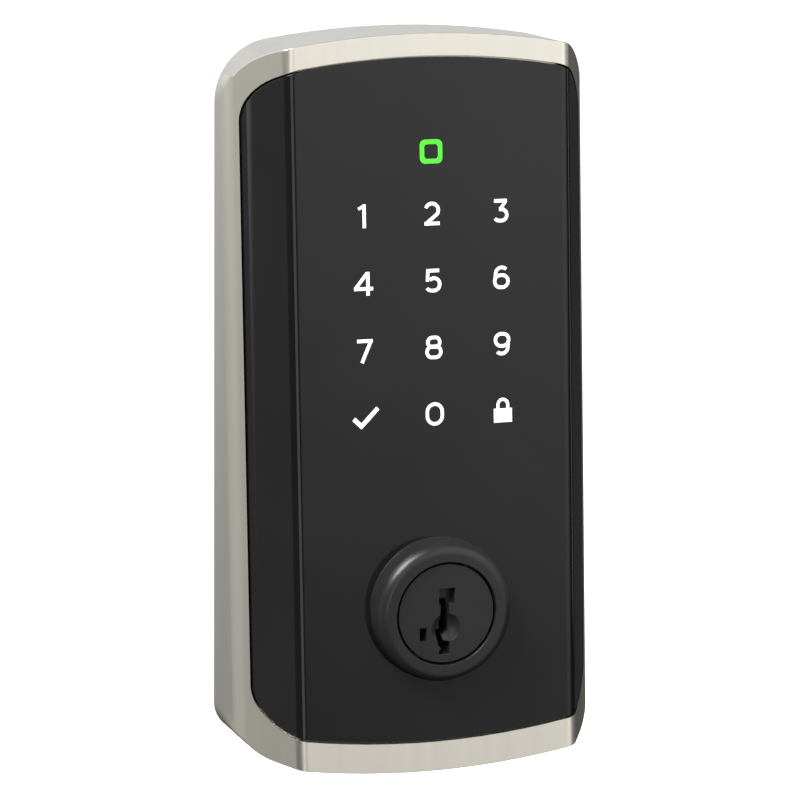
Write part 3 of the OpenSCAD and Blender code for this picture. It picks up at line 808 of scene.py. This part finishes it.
class LOCK_OT_springs(bpy.types.Operator):
    """Wind the springs behind the key pins and the sidebar"""

    bl_idname = "lock.springs"
    bl_label = "Springs"

    def execute(self, context):
        low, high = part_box("pin_springs")
        wire = 0.14 * MM
        pin_turns, bar_turns = 6, 5
        coils = []
        for i in range(1, 6):
            pin = middle(f"key_pin_{i}")
            coils.append(coil(f"pin_spring_{i}", (high.x - low.x) / 2 - wire, wire,
                              high.z - low.z, pin_turns, (pin.x, pin.y, low.z)))
        piece = settle(joined(coils, "pin_coils"), 60)
        hand_over(piece, "key_plug", "steel", FINISHES["steel"], "pin_springs")
        low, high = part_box("sidebar_springs")
        radius = (high.z - low.z) / 2
        coils = []
        for i, y in enumerate((low.y + radius, high.y - radius)):
            coils.append(coil(f"bar_spring_{i}", radius - wire, wire, high.x - low.x, bar_turns,
                              (low.x, y, (low.z + high.z) / 2), (0, math.pi / 2, 0)))
        piece = settle(joined(coils, "sidebar_coils"), 60)
        hand_over(piece, "key_plug", "steel", FINISHES["steel"], "sidebar_springs")
        return {"FINISHED"}


class LOCK_OT_electronics(bpy.types.Operator):
    """Add the circuit board with its parts, cover and screws"""

    bl_idname = "lock.electronics"
    bl_label = "Electronics"

    def execute(self, context):
        # CAD node, piece, material, edge radius in millimetres, segments of the rounding
        rows = (
            ("touch_board", "board_laminate", "circuit_board", 0.1, 2),
            ("touch_controller", "controller_chip", "black_plastic", 0.12, 2),
            ("board_parts", "board_chips", "circuit_parts", 0.08, 2),
            ("buzzer", "buzzer_can", "black_plastic", 0.25, 3),
            ("cable_socket", "socket_shell", "ivory_plastic", 0.15, 2),
            ("board_cover", "board_lid", "black_plastic", 0.4, 3),
            ("board_screws", "lid_screws", "steel", 0.12, 2),
            ("housing_screws", "flange_screws", "steel", 0.12, 2),
            ("key_leds", "key_lights", "led", 0.1, 2),
            ("status_led", "status_lamp", "led", 0.1, 2),
            ("light_baffle", "light_guide", "black_plastic", 0.1, 2),
        )
        for name, piece_name, slot, radius, segments in rows:
            piece = copy_of_node(name, piece_name)
            soften(piece, radius * MM, segments)
            settle(piece)
            hand_over(piece, "lock_body", slot, FINISHES[slot], name)
        return {"FINISHED"}


class LOCK_OT_door_fittings(bpy.types.Operator):
    """Add the back plate, hub, posts, screws, grommet and door seal"""

    bl_idname = "lock.door_fittings"
    bl_label = "Door fittings"

    def execute(self, context):
        # CAD node, piece, slot, material, edge radius in millimetres, segments of the rounding
        rows = (
            ("back_plate", "mounting_plate", "zinc_plated_steel", "zinc_plated_steel", 0.2, 3),
            ("back_plate_screws", "plate_screws", "steel", "steel", 0.15, 2),
            ("mounting_posts", "threaded_posts", "steel", "steel", 0.3, 3),
            ("cable_grommet", "cable_bush", "rubber", "rubber", 0.3, 3),
            ("door_seal", "foam_seal", "rubber", "foam", 0.55, 4),
        )
        for name, piece_name, slot, look, radius, segments in rows:
            piece = copy_of_node(name, piece_name)
            soften(piece, radius * MM, segments)
            settle(piece)
            hand_over(piece, "lock_body", slot, FINISHES[look], name)
        low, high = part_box("door_hub")
        wall, lead_in, inner_round = 2 * MM, 0.6 * MM, 0.3 * MM
        hub = spun_ring("hub_tube", high.x - wall, high.x, low.y, high.y,
                        (0, 0, lead_in, inner_round))
        settle(hub)
        hand_over(hub, "lock_body", "zinc_plated_steel", FINISHES["zinc_plated_steel"],
                  "door_hub")
        return {"FINISHED"}


# ---- Stage ----


def area_light(name, place, aim, size, power):
    """Adds a rectangular light at a place, turned towards the point that it is aimed at."""
    lamp = bpy.data.lights.new(name, "AREA")
    lamp.shape = "RECTANGLE"
    lamp.size, lamp.size_y = size
    lamp.energy = power
    made = bpy.data.objects.new(name, lamp)
    bpy.context.scene.collection.objects.link(made)
    made.location = place
    made.rotation_euler = (aim - place).to_track_quat("-Z", "Y").to_euler()


def direction(azimuth, elevation):
    """A unit vector; azimuth 0 points from the lock to the front, and grows to the right."""
    a, e = math.radians(azimuth), math.radians(elevation)
    return Vector((math.sin(a) * math.cos(e), -math.cos(a) * math.cos(e), math.sin(e)))


def studio_world():
    """Soft light in patches: the brightest to the front right, others below, behind and left.

    Where the camera looks past everything, it sees a plain pale grey instead.
    """
    world = bpy.data.worlds.new("studio")
    world.use_nodes = True
    tree = world.node_tree
    tree.nodes.clear()
    link = tree.links.new
    place = node(tree, "ShaderNodeTexCoord")
    ambient = 0.05
    total = None
    patches = (
        # azimuth, elevation, inner and outer half angle in degrees, brightness, colour
        (40, 24, 12, 46, 1.84, (1, 1, 1)),
        (30, -30, 5, 25, 0.9, (1, 1, 1)),
        (178, 22, 15, 48, 0.74, (0.94, 0.98, 1.06)),
        (-121, 26, 8, 33, 0.95, (1, 0.99, 0.96)),
        (-132, -8, 8, 32, 0.45, (1, 1, 1)),
        (-97, -12, 6, 25, 0.36, (1, 1, 1)),
    )
    for azimuth, elevation, inner, outer, strength, colour in patches:
        dot = node(tree, "ShaderNodeVectorMath", operation="DOT_PRODUCT")
        link(place.outputs["Generated"], dot.inputs[0])
        dot.inputs[1].default_value = direction(azimuth, elevation)
        patch = node(tree, "ShaderNodeMapRange", interpolation_type="SMOOTHSTEP")
        patch.inputs["From Min"].default_value = math.cos(math.radians(outer))
        patch.inputs["From Max"].default_value = math.cos(math.radians(inner))
        patch.inputs["To Max"].default_value = strength
        link(dot.outputs["Value"], patch.inputs["Value"])
        add = node(tree, "ShaderNodeVectorMath", operation="MULTIPLY_ADD")
        link(patch.outputs[0], add.inputs[0])
        add.inputs[1].default_value = colour
        if total is None:
            add.inputs[2].default_value = 3 * (ambient,)
        else:
            link(total, add.inputs[2])
        total = add.outputs[0]
    light = node(tree, "ShaderNodeBackground")
    link(total, light.inputs["Color"])
    plain = node(tree, "ShaderNodeBackground")
    path = node(tree, "ShaderNodeLightPath")
    mix = node(tree, "ShaderNodeMixShader")
    link(path.outputs["Is Camera Ray"], mix.inputs[0])
    link(light.outputs[0], mix.inputs[1])
    link(plain.outputs[0], mix.inputs[2])
    out = node(tree, "ShaderNodeOutputWorld")
    link(mix.outputs[0], out.inputs["Surface"])
    bpy.context.scene.world = world


class LOCK_OT_stage(bpy.types.Operator):
    """Add the floor, the soft studio light and the camera"""

    bl_idname = "lock.stage"
    bl_label = "Stage"

    def execute(self, context):
        sizes = context.scene.lock_stage
        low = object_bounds()[0]
        bpy.ops.object.select_all(action="DESELECT")
        bpy.ops.mesh.primitive_circle_add(vertices=96, radius=FLOOR_RADIUS, fill_type="NGON",
                                          location=(0, 0, low.z - sizes.floor_drop))
        floor = bpy.context.object
        floor.name = "floor"
        pale = bpy.data.materials.new("pale_floor")
        pale.use_nodes = True
        tree = pale.node_tree
        shader = tree.nodes["Principled BSDF"]
        shader.inputs["Roughness"].default_value = 0.9
        shader.inputs["Specular IOR Level"].default_value = 0.0
        noise = effect(tree, "Grain", Fine_Scale=200.0, Drift_Scale=2.0)
        tone = two_tone(tree, noise.outputs["Drift"], (0.94, 0.94, 0.94), (0.96, 0.96, 0.96))
        tree.links.new(tone, shader.inputs["Base Color"])
        tree.links.new(tone, shader.inputs["Emission Color"])
        shader.inputs["Emission Strength"].default_value = 0.8
        floor.data.materials.append(pale)
        floor.visible_glossy = False
        floor.visible_diffuse = False
        floor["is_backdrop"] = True
        studio_world()
        aim = Vector(sizes.aim)
        lights = (
            # name, azimuth, elevation, distance, size, power in watts
            ("strip_front", -14, 8, 2.2, (0.8, 1.8), 8),
            ("top_left", -62, 50, 1.6, (1.0, 0.9), 66),
            ("strip_right", 96, 8, 2.2, (0.2, 1.6), 2),
        )
        for name, azimuth, elevation, distance, size, power in lights:
            area_light(name, aim + direction(azimuth, elevation) * distance, aim, size, power)
        back = direction(-math.degrees(sizes.azimuth), math.degrees(sizes.elevation))
        right = Vector((0, 0, 1)).cross(back).normalized()
        up = back.cross(right)
        x = math.cos(sizes.roll) * right + math.sin(sizes.roll) * up
        y = -math.sin(sizes.roll) * right + math.cos(sizes.roll) * up
        data = bpy.data.cameras.new("camera")
        data.sensor_width = SENSOR_WIDTH
        data.lens = sizes.focal_length
        data.clip_start = 0.05
        data.clip_end = 60
        camera = bpy.data.objects.new("camera", data)
        context.scene.collection.objects.link(camera)
        camera.matrix_world = Matrix.Translation(aim + back * sizes.distance) @ Matrix(
            (x, y, back)).transposed().to_4x4()
        context.scene.camera = camera
        context.scene.view_settings.view_transform = "Standard"
        return {"FINISHED"}


class LOCK_PT_pieces(bpy.types.Panel):
    """Lists the lock's sizes and the operators that add its pieces"""

    bl_label = "Keypad Lock"
    bl_idname = "LOCK_PT_pieces"
    bl_space_type = "VIEW_3D"
    bl_region_type = "UI"
    bl_category = "Keypad Lock"

    def draw(self, context):
        column = self.layout.column()
        for group in (context.scene.lock_body, context.scene.lock_panel,
                      context.scene.lock_cylinder, context.scene.lock_stage):
            for name in group.__annotations__:
                column.prop(group, name)
        for operator in OPERATORS:
            column.operator(operator.bl_idname)


GROUP_OF = {
    "lock_body": LOCK_PG_body,
    "lock_panel": LOCK_PG_panel,
    "lock_cylinder": LOCK_PG_cylinder,
    "lock_stage": LOCK_PG_stage,
}
OPERATORS = (
    LOCK_OT_finishes,
    LOCK_OT_body,
    LOCK_OT_panel,
    LOCK_OT_cylinder,
    LOCK_OT_springs,
    LOCK_OT_electronics,
    LOCK_OT_door_fittings,
    LOCK_OT_stage,
)


def register():
    for made in (*GROUP_OF.values(), *OPERATORS, LOCK_PT_pieces):
        bpy.utils.register_class(made)
    for name, group in GROUP_OF.items():
        setattr(bpy.types.Scene, name, bpy.props.PointerProperty(type=group))


def unregister():
    for name in GROUP_OF:
        delattr(bpy.types.Scene, name)
    for made in reversed((*GROUP_OF.values(), *OPERATORS, LOCK_PT_pieces)):
        bpy.utils.unregister_class(made)


def main():
    register()
    for operator in OPERATORS:
        family, name = operator.bl_idname.split(".")
        getattr(getattr(bpy.ops, family), name)()


if __name__ == "__main__":
    main()
